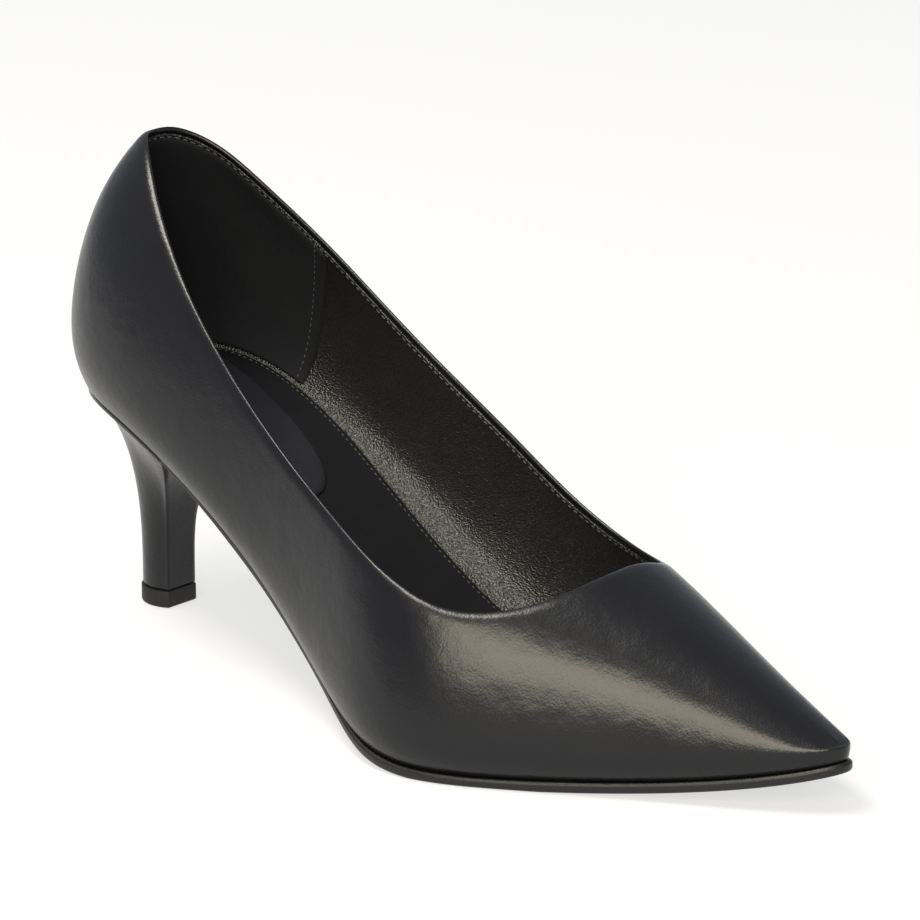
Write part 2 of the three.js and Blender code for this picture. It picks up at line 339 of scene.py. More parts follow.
def feather_height(share):
    return (
        SOLE_LIFT
        + (HEEL_HEIGHT - SOLE_LIFT) * station("rise", share)
        + TOE_SPRING * station("spring", share)
    )


def skin(side, share, angle):
    """The last's surface: an angle from minus the tuck at the feather line to 90 on the ridge."""
    blend_start = 0.45
    blend_span = 1.1
    share, angle = np.broadcast_arrays(np.asarray(share, float), angle)
    phi = np.radians(angle)
    half, tuck_degrees = side_station(side, share)
    tuck = np.radians(tuck_degrees)
    feather = feather_height(share)
    level = station("level", share)
    ridge = CROWN * station("ridge", share)
    below = level / np.sin(tuck)
    above = ridge - feather - level
    swell = mix(below, above, ease((blend_start - tuck) / blend_span)) * np.sin(tuck)
    reach = mix(below, above, ease((phi + blend_start) / blend_span))
    height = (swell + reach * np.sin(phi)) * (ridge - feather) / (swell + above)
    spread = np.cos(phi) / np.cos(tuck)
    axis = LENGTH * station("axis", share)
    ahead = (LENGTH * station("at", share) - axis) * spread
    fall = TOE_FALL * np.maximum(0, ahead) * np.maximum(0, np.sin(phi)) ** 2
    y = station("swing", share) + side * half * spread
    return np.stack([axis + ahead, y, feather + height - fall], axis=-1)


def skin_slopes(side, share, angle):
    """Change of the skin for a whole share and for a degree."""
    step = 1e-4
    turn = 0.05
    behind = np.clip(share - step, 0, 1)
    ahead = np.clip(share + step, 0, 1)
    along = (skin(side, ahead, angle) - skin(side, behind, angle)) / (ahead - behind)[..., None]
    round_ = (skin(side, share, angle + turn) - skin(side, share, angle - turn)) / (2 * turn)
    return along, round_


def unit(vectors):
    return vectors / np.linalg.norm(vectors, axis=-1, keepdims=True)


NEAR_RIDGE = 89  # degrees; at the last's two ends the ridge itself has no slope


def shell(side, share, angle, offset):
    """The skin moved out by an offset in millimetres, alike for both sides on the centre line."""
    share, angle, offset = np.broadcast_arrays(np.asarray(share, float), angle, offset)
    at_end = (share <= 0) | (share >= 1)
    off_pole = np.where(at_end, np.minimum(angle, NEAR_RIDGE), angle)
    near, far = (unit(-each * np.cross(*skin_slopes(each, share, off_pole))) for each in (side, -side))
    on_centre = at_end | (angle >= 90)
    normal = np.where(on_centre[..., None], unit(near + far), near)
    return skin(side, share, angle) + normal * offset[..., None]


def topline(side, t):
    rows = TOPLINE[side]
    return curve(rows[:, 0], t, True, False), curve(rows[:, 1], t, False, True)


def dot(first, second):
    return (first * second).sum(axis=-1)


def below_topline(side, t, depth):
    """Share and angle of the points that lie so many millimetres below the topline, square to it."""
    step = 1e-3
    t = np.asarray(t, float)
    share, angle = topline(side, t)
    along, round_ = skin_slopes(side, share, angle)
    tangent = skin(side, *topline(side, np.minimum(t + step, 1))) - skin(
        side, *topline(side, np.maximum(t - step, 0))
    )
    down = unit(-side * np.cross(tangent, np.cross(along, round_) * -side))
    along_along, along_round, round_round = dot(along, along), dot(along, round_), dot(round_, round_)
    along_down, round_down = dot(along, down), dot(round_, down)
    spread = along_along * round_round - along_round * along_round
    share_rate = (along_down * round_round - round_down * along_round) / spread
    angle_rate = (round_down * along_along - along_down * along_round) / spread
    at_back = t == 0
    at_throat = t == 1
    share_rate = np.where(at_back, 0, np.where(at_throat, 1 / np.sqrt(along_along), share_rate))
    angle_rate = np.where(at_back, -1 / np.sqrt(round_round), np.where(at_throat, 0, angle_rate))
    depth = np.asarray(depth, float)
    below_share = share[..., None] + share_rate[..., None] * depth
    below_angle = angle[..., None] + angle_rate[..., None] * depth
    return below_share, below_angle


WELD_DISTANCE = 2e-6


def add_piece(name, points, faces, finish, slot, *replaced):
    """A smooth mesh from points in millimetres on the last, facing out."""
    mesh = bpy.data.meshes.new(name)
    mesh.from_pydata(in_frame(points).tolist(), [], [tuple(face) for face in faces])
    work = bmesh.new()
    work.from_mesh(mesh)
    bmesh.ops.remove_doubles(work, verts=work.verts, dist=WELD_DISTANCE)
    bmesh.ops.recalc_face_normals(work, faces=work.faces)
    work.to_mesh(mesh)
    work.free()
    mesh.materials.append(finish)
    for polygon in mesh.polygons:
        polygon.use_smooth = True
    made = bpy.data.objects.new(name, mesh)
    bpy.context.scene.collection.objects.link(made)
    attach(made, "root")
    if replaced:
        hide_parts(*replaced)


def grid_faces(columns, rows, start=0, closed=False):
    """Quads between columns of equal height, whose points run column by column."""
    faces = []
    for i in range(columns - 1):
        for j in range(rows if closed else rows - 1):
            a = start + i * rows + j
            b = start + i * rows + (j + 1) % rows
            faces.append((a, a + rows, b + rows, b))
    return faces


OPEN_LINES = 150
VAMP_LINES = 70
WALL_ROWS = 36
FOOT_CROWDING = 1.5
EVEN_SPACING = 0.6
FOOT_REACH = 0.84  # share of the last that the line from the throat leans towards
EDGE_DEPTH = 4.0  # the stretch under the topline whose rows run along it


def wall_solid(outer, inner, edge, toe_share, settle=None):
    """Points and faces of a sheet on the last from one offset to another, with a profile of
    (depth, offset) round its edge at the topline. Ahead of the throat both sides meet on the ridge."""
    points = []
    faces = []
    rise = np.linspace(0, 1, WALL_ROWS + 1) ** FOOT_CROWDING
    depths = np.array([depth for depth, _ in edge])
    offsets = np.array([offset for _, offset in edge])
    count = 0
    for side in SIDES:
        t = np.linspace(0, 1, OPEN_LINES + 1)
        top_share, top_angle = (value[:, 0] for value in below_topline(side, t, [EDGE_DEPTH]))
        foot_share = mix(top_share, FOOT_REACH * t, EVEN_SPACING)
        ahead = np.linspace(0, 1, VAMP_LINES + 1)[1:]
        top_share = np.concatenate([top_share, mix(top_share[-1], toe_share, ahead)])
        foot_share = np.concatenate([foot_share, mix(foot_share[-1], toe_share, ahead)])
        top_angle = np.concatenate([top_angle, np.full(VAMP_LINES, 90.0)])
        share = mix(foot_share[:, None], top_share[:, None], rise)
        angle = mix(-side_station(side, share)[1], top_angle[:, None], rise)
        inside = shell(side, share, angle, inner)
        # Inside the sharp tip of the toe the offset would fold out through the leather.
        inside[..., 0] = np.minimum(inside[..., 0], skin(side, 1.0, 0.0)[0] + inner)
        if settle:
            inside = settle(side, share, inside)
        loops = np.concatenate([shell(side, share, angle, outer), inside[:, ::-1]], axis=1)
        lines, rows = loops.shape[:2]
        quads = grid_faces(lines, rows, count, closed=True)
        faces += [quad for k, quad in enumerate(quads) if k % rows != WALL_ROWS]
        rim = shell(side, *below_topline(side, t, depths), offsets)
        rim_start = count + lines * rows
        faces += grid_faces(len(t), len(edge), rim_start)
        for i in range(len(t) - 1):
            for rim_row, loop_row in ((0, WALL_ROWS), (len(edge) - 1, WALL_ROWS + 1)):
                a = rim_start + i * len(edge) + rim_row
                b = count + i * rows + loop_row
                faces.append((a, a + len(edge), b + rows, b))
        if toe_share < 1:
            end = count + (lines - 1) * rows
            for j in range(WALL_ROWS):
                faces.append((end + j, end + j + 1, end + rows - 2 - j, end + rows - 1 - j))
        points += [loops.reshape(-1, 3), rim.reshape(-1, 3)]
        count += loops.size // 3 + rim.size // 3
    return np.concatenate(points), faces


BLACK = (0.0025, 0.0025, 0.0036)
BLACK_WORN = (0.0045, 0.0045, 0.006)
CALF = 1.0  # thickness of the leather
SEAM_Y = 2.5  # the closed seam down the middle of the back
SEAM_AHEAD = 30.0
SEAM_HALF = 0.5
SEAM_DEEP = 0.3
PER_MILLIMETRE = 1 / MILLIMETRE


def calf_finish(place):
    pores = place.cells(0.55)
    creases = place.noise(1.6, 4.0)
    swell = place.noise(9.0)
    cloud = place.noise(22.0)
    off_seam = place.part(1) - last_origin.y - SEAM_Y * MILLIMETRE
    seam = (1 - off_seam * off_seam * (1 / (SEAM_HALF * MILLIMETRE) ** 2)).clamped()
    on_counter = ((place.part(2) - HEEL_HEIGHT * MILLIMETRE) * PER_MILLIMETRE).clamped()
    seam_end = last_origin.x + SEAM_AHEAD * MILLIMETRE
    behind = ((seam_end - place.part(0)) * PER_MILLIMETRE).clamped()
    height = pores * 0.035 + creases * 0.06 + swell * 0.42 - seam * on_counter * behind * SEAM_DEEP
    return {
        "Base Color": place.tint(BLACK, BLACK_WORN, cloud),
        "Roughness": 0.23 + cloud * 0.05 + pores * 0.05,
        "Normal": place.bump(height, 0.6),
    }


calf = material("black_calf", {"Specular IOR Level": 0.36}, calf_finish)

# The turned edge: over the top on a small radius, and down inside to the lining. Each pair is a depth
# under the topline and an offset from the last.
TURNED_EDGE = [
    (3.2, 0.0),
    (2.5, -0.01),
    (1.9, -0.05),
    (1.35, -0.13),
    (0.9, -0.25),
    (0.5, -0.4),
    (0.22, -0.54),
    (0.06, -0.68),
    (0.0, -0.82),
    (0.03, -1.02),
    (0.1, -1.22),
    (0.22, -1.4),
    (0.42, -1.54),
    (0.72, -1.63),
    (1.1, -1.66),
    (1.5, -1.66),
    (2.2, -1.56),
    (2.4, -1.4),
    (2.5, -CALF),
    (3.0, -CALF),
]
add_piece("upper_leather", *wall_solid(0.0, -CALF, TURNED_EDGE, 1.0), calf, "upper_leather", "upper")


# Lining
# Pebbled black lining leather, glued inside the upper and trimmed just below the turned edge, where its
# cut edge stands a little proud. It curves in over the insole's edge at its foot.
LINING_BLACK = (0.005, 0.005, 0.0052)
LINING_GREY = (0.011, 0.011, 0.011)
LINING_TOE = 0.94  # the lining stops short of the toe puff
BOARD_THICK = 1.2
GLUE_LINE = 0.05
CLEARANCE = 0.02  # between pieces that lie on one another
CURL_HEEL = 1.2  # how far the lining curves in over the insole board
CURL_BALL = 5.0
CURL_HEIGHT_HEEL = 3.0
CURL_HEIGHT_BALL = 18.0
CURL_START = 0.3
CURL_END = 0.7
CURL_SPAN = 0.17
LINING_EDGE = [
    (3.4, -CALF - GLUE_LINE),
    (2.3, -CALF - GLUE_LINE),
    (1.95, -1.3),
    (1.85, -1.62),
    (1.9, -1.8),
    (2.05, -1.92),
    (2.3, -1.95),
    (2.65, -1.88),
    (3.0, -1.74),
    (3.4, -1.82),
    (3.8, -1.8),
]


def feather_point(side, share):
    return skin(side, share, -side_station(side, share)[1])


def outward(side, share):
    """The level direction out of the shoe, square to the feather line."""
    step = 1e-3
    share = np.asarray(share, float)
    behind = feather_point(side, np.maximum(share - step, 0))
    ahead = feather_point(side, np.minimum(share + step, 1))
    way = np.stack([ahead[..., 1] - behind[..., 1], behind[..., 0] - ahead[..., 0]], axis=-1) * -side
    way = np.where((share <= 0)[..., None], (-1.0, 0.0), way)
    way = np.where((share >= 1)[..., None], (1.0, 0.0), way)
    return np.concatenate([unit(way), np.zeros(share.shape + (1,))], axis=-1)


def curl_share(share):
    """0 at the heel and the toe, and 1 between them, where the lining curves in most."""
    return ease((share - CURL_START) / CURL_SPAN) - ease((share - CURL_END) / CURL_SPAN)


def curl_over_board(side, share, wall):
    """The wall's inner face, bent in on a quarter ellipse to lie on the insole board."""
    floor_height = feather_height(share) + BOARD_THICK
    high = mix(CURL_HEIGHT_HEEL, CURL_HEIGHT_BALL, curl_share(share))
    drop = np.clip(1 - (wall[..., 2] - floor_height) / high, 0, 1)
    inwards = mix(CURL_HEEL, CURL_BALL, curl_share(share)) * (1 - np.sqrt(1 - drop**2))
    curled = wall - outward(side, share) * inwards[..., None]
    curled[..., 2] = np.maximum(wall[..., 2], floor_height + CLEARANCE)
    return curled


def lining_finish(place):
    pebbles = place.cells(0.55, (1.0, 1.0, 1.3))
    wrinkles = place.noise(0.5, 3.0, (0.6, 1.0, 1.4))
    cloud = place.noise(12.0)
    return {
        "Base Color": place.tint(LINING_BLACK, LINING_GREY, cloud),
        "Roughness": 0.29 + pebbles * 0.2,
        "Normal": place.bump(pebbles * 0.3 + wrinkles * 0.28, 1.0),
    }


lining_leather = material("pebbled_lining", {"Specular IOR Level": 0.8}, lining_finish)
add_piece(
    "lining",
    *wall_solid(-CALF - GLUE_LINE, -WALL, LINING_EDGE, LINING_TOE, curl_over_board),
    lining_leather,
    "lining",
)


# Heel grip
# A matte suede patch glued over the lining round the back of the heel and sewn along its slanting front
# edge. Its top edge lies just under the lining's.
GRIP_GREY = (0.0068, 0.007, 0.009)
GRIP_WORN = (0.0105, 0.0108, 0.0135)
GRIP_THICK = 0.5
GRIP_TOP_DEPTH = 3.4  # below the topline
GRIP_FRONT_TOP = 0.297  # shares of the last at the slanting front edge
GRIP_FRONT_FOOT = 0.256
GRIP_LINES = 70
GRIP_ROWS = 40
GRIP_FOOT_LIFT = 3.0  # degrees over the feather line
GRIP_SUNK = 0.1  # how far its back lies in the lining
GRIP_THIN = 0.35  # its border's share of the thickness
GRIP_BORDER = 1.5  # lines and rows over which it thickens


def grip_finish(place):
    nap = place.noise(0.35, 3.0)
    cloud = place.noise(9.0, 3.0)
    return {
        "Base Color": place.tint(GRIP_GREY, GRIP_WORN, cloud),
        "Normal": place.bump(nap * 0.12, 0.8),
    }


suede = material("suede_grip", {"Roughness": 0.85, "Specular IOR Level": 0.2}, grip_finish)


def topline_at_share(side, share):
    """How far along the topline a share of the last is met."""
    samples = 400
    t = np.linspace(0, 1, samples)
    return np.interp(share, topline(side, t)[0], t)


def grip_half(side, offset):
    """One side of the grip from the middle of the back to its front edge."""
    t = np.linspace(0, topline_at_share(side, GRIP_FRONT_TOP), GRIP_LINES + 1)
    top_share, top_angle = (value[:, 0] for value in below_topline(side, t, [GRIP_TOP_DEPTH]))
    foot_share = np.linspace(0, GRIP_FRONT_FOOT, GRIP_LINES + 1)
    rise = np.linspace(0, 1, GRIP_ROWS + 1)
    share = mix(foot_share[:, None], top_share[:, None], rise)
    angle = mix(-side_station(side, share)[1] + GRIP_FOOT_LIFT, top_angle[:, None], rise)
    return shell(side, share, angle, offset)


grip_along = np.linspace(0, 1, GRIP_LINES + 1)[:, None]
grip_rise = np.linspace(0, 1, GRIP_ROWS + 1)
grip_full = ease((1 - grip_along) * GRIP_LINES / GRIP_BORDER)
grip_full = grip_full * ease((1 - grip_rise) * GRIP_ROWS / GRIP_BORDER)
grip_face = -WALL - CLEARANCE - GRIP_THICK * mix(GRIP_THIN, 1, grip_full)
grip_layers = []
for grip_offset in (np.full_like(grip_face, -WALL + GRIP_SUNK), grip_face):
    halves = [grip_half(side, grip_offset) for side in SIDES]
    grip_layers.append(np.concatenate([halves[0][::-1], halves[1][1:]]))
grip_lines, grip_rows = grip_layers[0].shape[:2]
grip_count = grip_lines * grip_rows
grip_quads = grid_faces(grip_lines, grip_rows)
grip_border = (
    [i * grip_rows for i in range(grip_lines)]
    + [(grip_lines - 1) * grip_rows + j for j in range(1, grip_rows)]
    + [i * grip_rows + grip_rows - 1 for i in range(grip_lines - 2, -1, -1)]
    + list(range(grip_rows - 2, 0, -1))
)
grip_faces = grip_quads + [tuple(k + grip_count for k in quad[::-1]) for quad in grip_quads]
for a, b in zip(grip_border, grip_border[1:] + grip_border[:1]):
    grip_faces.append((a, b, b + grip_count, a + grip_count))
add_piece("heel_grip", np.concatenate(grip_layers).reshape(-1, 3), grip_faces, suede, "heel_grip")


# Stitches
# Grey thread holds the lining to the turned edge three millimetres under the topline, and sews down the
# grip's front edge. Each stitch is a short bead of thread half sunk in the leather, laid along a path.
THREAD_GREY = (0.09, 0.09, 0.095)
THREAD_BLUE_GREY = (0.085, 0.085, 0.092)
TOPLINE_STITCHES = (2.1, 1.5, 0.17)  # pitch, length and thread radius
TOPLINE_STITCH_DEPTH = 3.0
TOPLINE_PATH_POINTS = 300
GRIP_STITCHES = (1.8, 1.2, 0.14)
GRIP_SEAM_LINE = 2  # lines of the grip in from its front edge
GRIP_SEAM_FOOT = 2  # rows up from its foot
GRIP_SEAM_LEVEL = 0.9  # of its thickness
STITCH_SEED = 7


def thread_finish(place):
    twist = place.noise(0.3)
    return {"Base Color": place.tint(THREAD_GREY, THREAD_BLUE_GREY, twist)}


thread = material("grey_thread", {"Roughness": 0.6}, thread_finish)


def stitch_tree():
    """Beads along a path, with named inputs for their sizes."""
    tree = bpy.data.node_groups.new("stitch_row", "GeometryNodeTree")
    sockets = {
        "Path": "NodeSocketGeometry",
        "Pitch": "NodeSocketFloat",
        "Stitch Length": "NodeSocketFloat",
        "Thread Radius": "NodeSocketFloat",
        "Seed": "NodeSocketInt",
        "Thread": "NodeSocketMaterial",
    }
    for name, kind in sockets.items():
        tree.interface.new_socket(name, in_out="INPUT", socket_type=kind)
    tree.interface.new_socket("Stitches", in_out="OUTPUT", socket_type="NodeSocketGeometry")
    given = tree.nodes.new("NodeGroupInput")

    def step(kind, inputs, output=0, **settings):
        made = tree.nodes.new(kind)
        for name, value in settings.items():
            setattr(made, name, value)
        for name, value in inputs.items():
            if isinstance(value, bpy.types.NodeSocket):
                tree.links.new(value, made.inputs[name])
            else:
                made.inputs[name].default_value = value
        return made.outputs[output]

    line = step("GeometryNodeMeshToCurve", {"Mesh": given.outputs["Path"]})
    spaced = step(
        "GeometryNodeResampleCurve", {"Curve": line, "Length": given.outputs["Pitch"]}, mode="LENGTH"
    )
    bead = step("GeometryNodeMeshUVSphere", {"Segments": 8, "Rings": 6, "Radius": 1.0})
    half = step("ShaderNodeMath", {0: given.outputs["Stitch Length"], 1: 0.5}, operation="MULTIPLY")
    size = step(
        "ShaderNodeCombineXYZ",
        {"X": half, "Y": given.outputs["Thread Radius"], "Z": given.outputs["Thread Radius"]},
    )
    uneven = step(
        "FunctionNodeRandomValue",
        {"Min": (0.85, 0.9, 0.9), "Max": (1.08, 1.1, 1.1), "Seed": given.outputs["Seed"]},
        data_type="FLOAT_VECTOR",
    )
    scale = step("ShaderNodeVectorMath", {0: size, 1: uneven}, operation="MULTIPLY")
    tangent = step("GeometryNodeInputTangent", {})
    turn = step("FunctionNodeAlignRotationToVector", {"Vector": tangent}, axis="X")
    placed = step(
        "GeometryNodeInstanceOnPoints",
        {"Points": spaced, "Instance": bead, "Rotation": turn, "Scale": scale},
    )
    real = step("GeometryNodeRealizeInstances", {"Geometry": placed})
    dressed = step("GeometryNodeSetMaterial", {"Geometry": real, "Material": given.outputs["Thread"]})
    result = tree.nodes.new("NodeGroupOutput")
    tree.links.new(dressed, result.inputs["Stitches"])
    return tree


stitch_rows = stitch_tree()


def sew(name, path, pitch, length, radius):
    """A row of stitches along a path in millimetres on the last."""
    mesh = bpy.data.meshes.new(name + "_path")
    mesh.from_pydata(in_frame(path).tolist(), [(i, i + 1) for i in range(len(path) - 1)], [])
    line = bpy.data.objects.new(name + "_path", mesh)
    bpy.context.scene.collection.objects.link(line)
    modifier = line.modifiers.new("stitches", "NODES")
    modifier.node_group = stitch_rows
    values = {
        "Pitch": pitch * MILLIMETRE,
        "Stitch Length": length * MILLIMETRE,
        "Thread Radius": radius * MILLIMETRE,
        "Seed": STITCH_SEED,
        "Thread": thread,
    }
    for item in stitch_rows.interface.items_tree:
        if item.in_out == "INPUT" and item.name in values:
            modifier[item.identifier] = values[item.name]
    bpy.context.view_layer.update()
    seen = line.evaluated_get(bpy.context.evaluated_depsgraph_get())
    sewn = bpy.data.meshes.new_from_object(seen)
    bpy.data.objects.remove(line)
    for polygon in sewn.polygons:
        polygon.use_smooth = True
    made = bpy.data.objects.new(name, sewn)
    bpy.context.scene.collection.objects.link(made)
    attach(made, "root")


topline_t = np.linspace(0, 1, TOPLINE_PATH_POINTS)
stitch_halves = []
for side in SIDES:
    stitch_line = below_topline(side, topline_t, [TOPLINE_STITCH_DEPTH])
    stitch_share, stitch_angle = (value[:, 0] for value in stitch_line)
    stitch_halves.append(shell(side, stitch_share, stitch_angle, -WALL))
topline_path = np.concatenate([stitch_halves[0][::-1], stitch_halves[1][1:]])
sew("topline_stitches", topline_path, *TOPLINE_STITCHES)

for side, name in ((LATERAL, "lateral_grip_stitches"), (MEDIAL, "medial_grip_stitches")):
    seam_offset = np.full((1, GRIP_ROWS + 1), -WALL - GRIP_THICK * GRIP_SEAM_LEVEL)
    grip_seam = grip_half(side, seam_offset)[-1 - GRIP_SEAM_LINE]
    sew(name, grip_seam[GRIP_SEAM_FOOT:], *GRIP_STITCHES)


# Insole board
# The stiff board that the upper is lasted over, inset from the feather line by the upper's wall. Only
# its edge can be seen, under the sock.
BOARD_TOE = 0.955
BOARD_LINES = 110
BOARD_ACROSS = 14
BOARD_BROWN = (0.03, 0.024, 0.018)


def eased_shares(start, end, steps):
    """Shares that crowd towards both ends, where the outline turns fastest."""
    return start + (end - start) * (1 - np.cos(np.pi * np.linspace(0, 1, steps + 1))) / 2


def slab(shares, profile, across):
    """A flat piece along the feather line. Its profile gives (outwards, height) rows round the edge,
    from the top to the underside, each one value for every share."""
    sides = []
    for side in SIDES:
        edge = feather_point(side, shares)
        way = outward(side, shares)
        rows = []
        for outwards, height in profile:
            row = edge + way * np.broadcast_to(outwards, shares.shape)[:, None]
            row[:, 2] = height
            rows.append(row)
        sides.append(np.stack(rows, axis=1))
    lateral, medial = sides
    crossed = (lateral[..., 1] > medial[..., 1])[..., None]
    middle = (lateral + medial) / 2
    lateral = np.where(crossed, middle, lateral)
    medial = np.where(crossed, middle, medial)
    steps = np.linspace(0, 1, across + 2)[1:-1, None]
    under = mix(lateral[:, -1:, :], medial[:, -1:, :], steps)
    over = mix(medial[:, :1, :], lateral[:, :1, :], steps)
    loops = np.concatenate([lateral, under, medial[:, ::-1], over], axis=1)
    lines, rows = loops.shape[:2]
    faces = grid_faces(lines, rows, closed=True)
    faces.append(tuple(range(rows)))
    faces.append(tuple((lines - 1) * rows + j for j in range(rows))[::-1])
    return loops.reshape(-1, 3), faces


def board_finish(place):
    return {"Base Color": place.tint(BOARD_BROWN, BLACK, place.noise(3.0))}


board_material = material("insole_board", {"Roughness": 0.8}, board_finish)
board_shares = eased_shares(0.0, BOARD_TOE, BOARD_LINES)
board_base = feather_height(board_shares)
board_inset = -(WALL + GAP)
board_profile = [(board_inset, board_base + BOARD_THICK), (board_inset, board_base)]
add_piece(
    "insole_board",
    *slab(board_shares, board_profile, BOARD_ACROSS),
    board_material,
    "sock",
    "insole",
)


# Outsole
# A thin leather-board sole cemented on, from the heel's breast to the toe: feathered thin at the waist,
# flat on the floor under the ball, and a little proud of the upper round the forepart. Its edge is
# trimmed, inked black and burnished, and bevelled along its top.
SOLE_LINES = 190
SOLE_ACROSS = 24
WAIST_INSET = 0.6
PROUD = 1.1
SOLE_BEVEL = 0.5
THIN_END = 1.5
THIN_SPAN = 0.1
WELT_START = 0.44
WELT_SPAN = 0.12
EDGE_BLACK = (0.0045, 0.0043, 0.0045)
EDGE_BROWN = (0.013, 0.008, 0.006)


def sole_finish(place):
    fibre = place.noise(0.5, 3.0, (0.25, 1.0, 2.0))
    wear = place.noise(6.0)
    return {
        "Base Color": place.tint(EDGE_BLACK, EDGE_BROWN, (wear - 0.45) * 1.6 * fibre),
        "Roughness": 0.34 + fibre * 0.16,
        "Normal": place.bump(fibre * 0.08, 0.7),
    }


sole_material = material("inked_sole", {"Specular IOR Level": 0.4}, sole_finish)
sole_shares = eased_shares(SEAT_SHARE + GAP / LENGTH, 1.0, SOLE_LINES)
welt = mix(-WAIST_INSET, PROUD, ease((sole_shares - WELT_START) / WELT_SPAN))
sole_top = feather_height(sole_shares) - GAP
sole_thick = mix(THIN_END, OUTSOLE_THICK, ease((sole_shares - SEAT_SHARE) / THIN_SPAN))
sole_bottom = np.maximum(0, sole_top - sole_thick)
sole_depth = sole_top - sole_bottom
sole_profile = [
    (welt - 2.2, sole_top),
    (welt - 0.62, sole_top),
    (welt - 0.5, sole_top - 0.02 * sole_depth),
    (welt - 0.1, sole_top - 0.17 * sole_depth),
    (welt - 0.01, sole_top - 0.24 * sole_depth),
    (welt, sole_top - 0.32 * sole_depth),
    (welt, sole_top - 0.76 * sole_depth),
    (welt - 0.08, sole_bottom + 0.17 * sole_depth),
    (welt - 0.24, sole_bottom + 0.06 * sole_depth),
    (welt - SOLE_BEVEL, sole_bottom),
    (welt - 2.5, sole_bottom),
]
add_piece(
    "sole_leather",
    *slab(sole_shares, sole_profile, SOLE_ACROSS),
    sole_material,
    "outsole",
    "outsole",
)


# Heel
# A slender moulded heel covered in the upper's leather, pulled tight and turned in at the flat breast, so
# that a fine ridge runs down each corner. It is screwed to the seat through the insole board.
HEEL_STEPS = 64
HEEL_LEVELS = 70
BREAST_STEPS = 10
LIP = 1.5
SEAT_INSET = 0.5
FOOT_INSET = 0.4
BACK_FLARE = 2.4
BREAST_FLARE = 4.2
FLARE_TURN = 1.4
BREAST_X = 22.9
FOOT_HALF_WIDTH = 6.5
FOOT_DEPTH = 12.5
BREAST_HALF = 5.0
FOOT_MIDDLE_Y = 0.5
TOP_PIECE_HEIGHT = 4.5
FOOT_LIFT = TOP_PIECE_HEIGHT + GAP
RIDGE_PROUD = 0.25  # of the fine ridge down each corner of the breast
RIDGE_NARROWNESS = 30  # it fades over a thirtieth of the way round from the corner
RIDGE_FADE = 12  # and over the last twelfth of the way up to the seat
FOOT_ROUNDING = (1.2, 0.35)  # insets of the rings that turn in at the foot
FIRST_RISE = 0.004  # of the first ring over them


def heel_foot(side, along, outwards):
    """The D of the heel's foot, from the middle of its back to the breast's corner."""
    turn = math.pi - math.asin(BREAST_HALF / FOOT_HALF_WIDTH)
    radius = FOOT_DEPTH / (1 - math.cos(turn))
    centre_x = BREAST_X - FOOT_DEPTH + radius
    angle = turn * along
    x = centre_x - (radius + outwards) * np.cos(angle)
    y = FOOT_MIDDLE_Y + side * (FOOT_HALF_WIDTH + outwards) * np.sin(angle)
    return np.stack([x, y, np.zeros_like(x)], axis=-1)


def heel_seat(side, along):
    share = SEAT_SHARE * along
    edge = feather_point(side, share) - outward(side, share) * SEAT_INSET
    edge[..., 2] = feather_height(share) - GAP
    return edge


def d_ring(point_at, steps, breast_steps):
    """A closed ring: back to corner on the lateral side, across the breast, and back on the medial."""
    along = np.sin(np.linspace(0, np.pi / 2, steps + 1))
    lateral = point_at(LATERAL, along)
    medial = point_at(MEDIAL, along)[:0:-1]
    across = np.linspace(0, 1, breast_steps + 1)[1:-1, None]
    breast = mix(lateral[-1], medial[0], across)
    return np.concatenate([lateral, breast, medial])


def ring_solid(rings):
    """Rings of equal count skinned in order, closed at both ends by a fan."""
    rings = np.asarray(rings)
    levels, count = rings.shape[:2]
    points = np.concatenate([rings.reshape(-1, 3), rings[[0, -1]].mean(axis=1)])
    faces = grid_faces(levels, count, closed=True)
    for centre, first in ((levels * count, 0), (levels * count + 1, (levels - 1) * count)):
        faces += [(centre, first + i, first + (i + 1) % count) for i in range(count)]
    return points, faces


def heel_ring(rise, inset):
    def point_at(side, along):
        flare = mix(BACK_FLARE, BREAST_FLARE, ease(along * FLARE_TURN))
        top = heel_seat(side, along)
        foot = heel_foot(side, along, -FOOT_INSET - inset)
        point = mix(foot, top, (rise**flare)[:, None])
        ridge = RIDGE_PROUD * np.exp(-(((1 - along) * RIDGE_NARROWNESS) ** 2))
        point[:, 1] += side * ridge * min(1, (1 - rise) * RIDGE_FADE)
        point[:, 2] = mix(FOOT_LIFT, top[:, 2] - LIP, rise)
        return point

    return d_ring(point_at, HEEL_STEPS, BREAST_STEPS)


heel_rises = np.arange(HEEL_LEVELS + 1) / HEEL_LEVELS
heel_rises[0] = FIRST_RISE
heel_rings = [heel_ring(0.0, inset) for inset in FOOT_ROUNDING]
heel_rings += [heel_ring(rise, 0) for rise in heel_rises]
heel_rings.append(d_ring(heel_seat, HEEL_STEPS, BREAST_STEPS))
add_piece("heel_cover", *ring_solid(heel_rings), calf, "heel_cover", "heel")


# Top piece
# A hard rubber lift cut to the heel's foot and pinned on, a little proud of the cover all round, with a
# bevel at the floor.
RUBBER_BLACK = (0.006, 0.0058, 0.0062)
RUBBER_BROWN = (0.012, 0.011, 0.0105)
TOP_PIECE_BEVEL = 0.5
TOP_PIECE_MIDDLE = 2.4
TOP_PIECE_ROUNDING = 0.2
ROUNDING_SHARE = 0.3  # of a bevel or a rounding, at the ring half way round it


def rubber_finish(place):
    scuff = place.noise(0.7, 3.0, (1.0, 1.0, 0.3))
    return {
        "Base Color": place.tint(RUBBER_BLACK, RUBBER_BROWN, place.noise(4.0)),
        "Roughness": 0.5 + scuff * 0.2,
        "Normal": place.bump(scuff * 0.04, 0.6),
    }


def top_piece_ring(outwards, height):
    def point_at(side, along):
        point = heel_foot(side, along, outwards)
        point[:, 2] = height
        return point

    return d_ring(point_at, HEEL_STEPS, BREAST_STEPS)


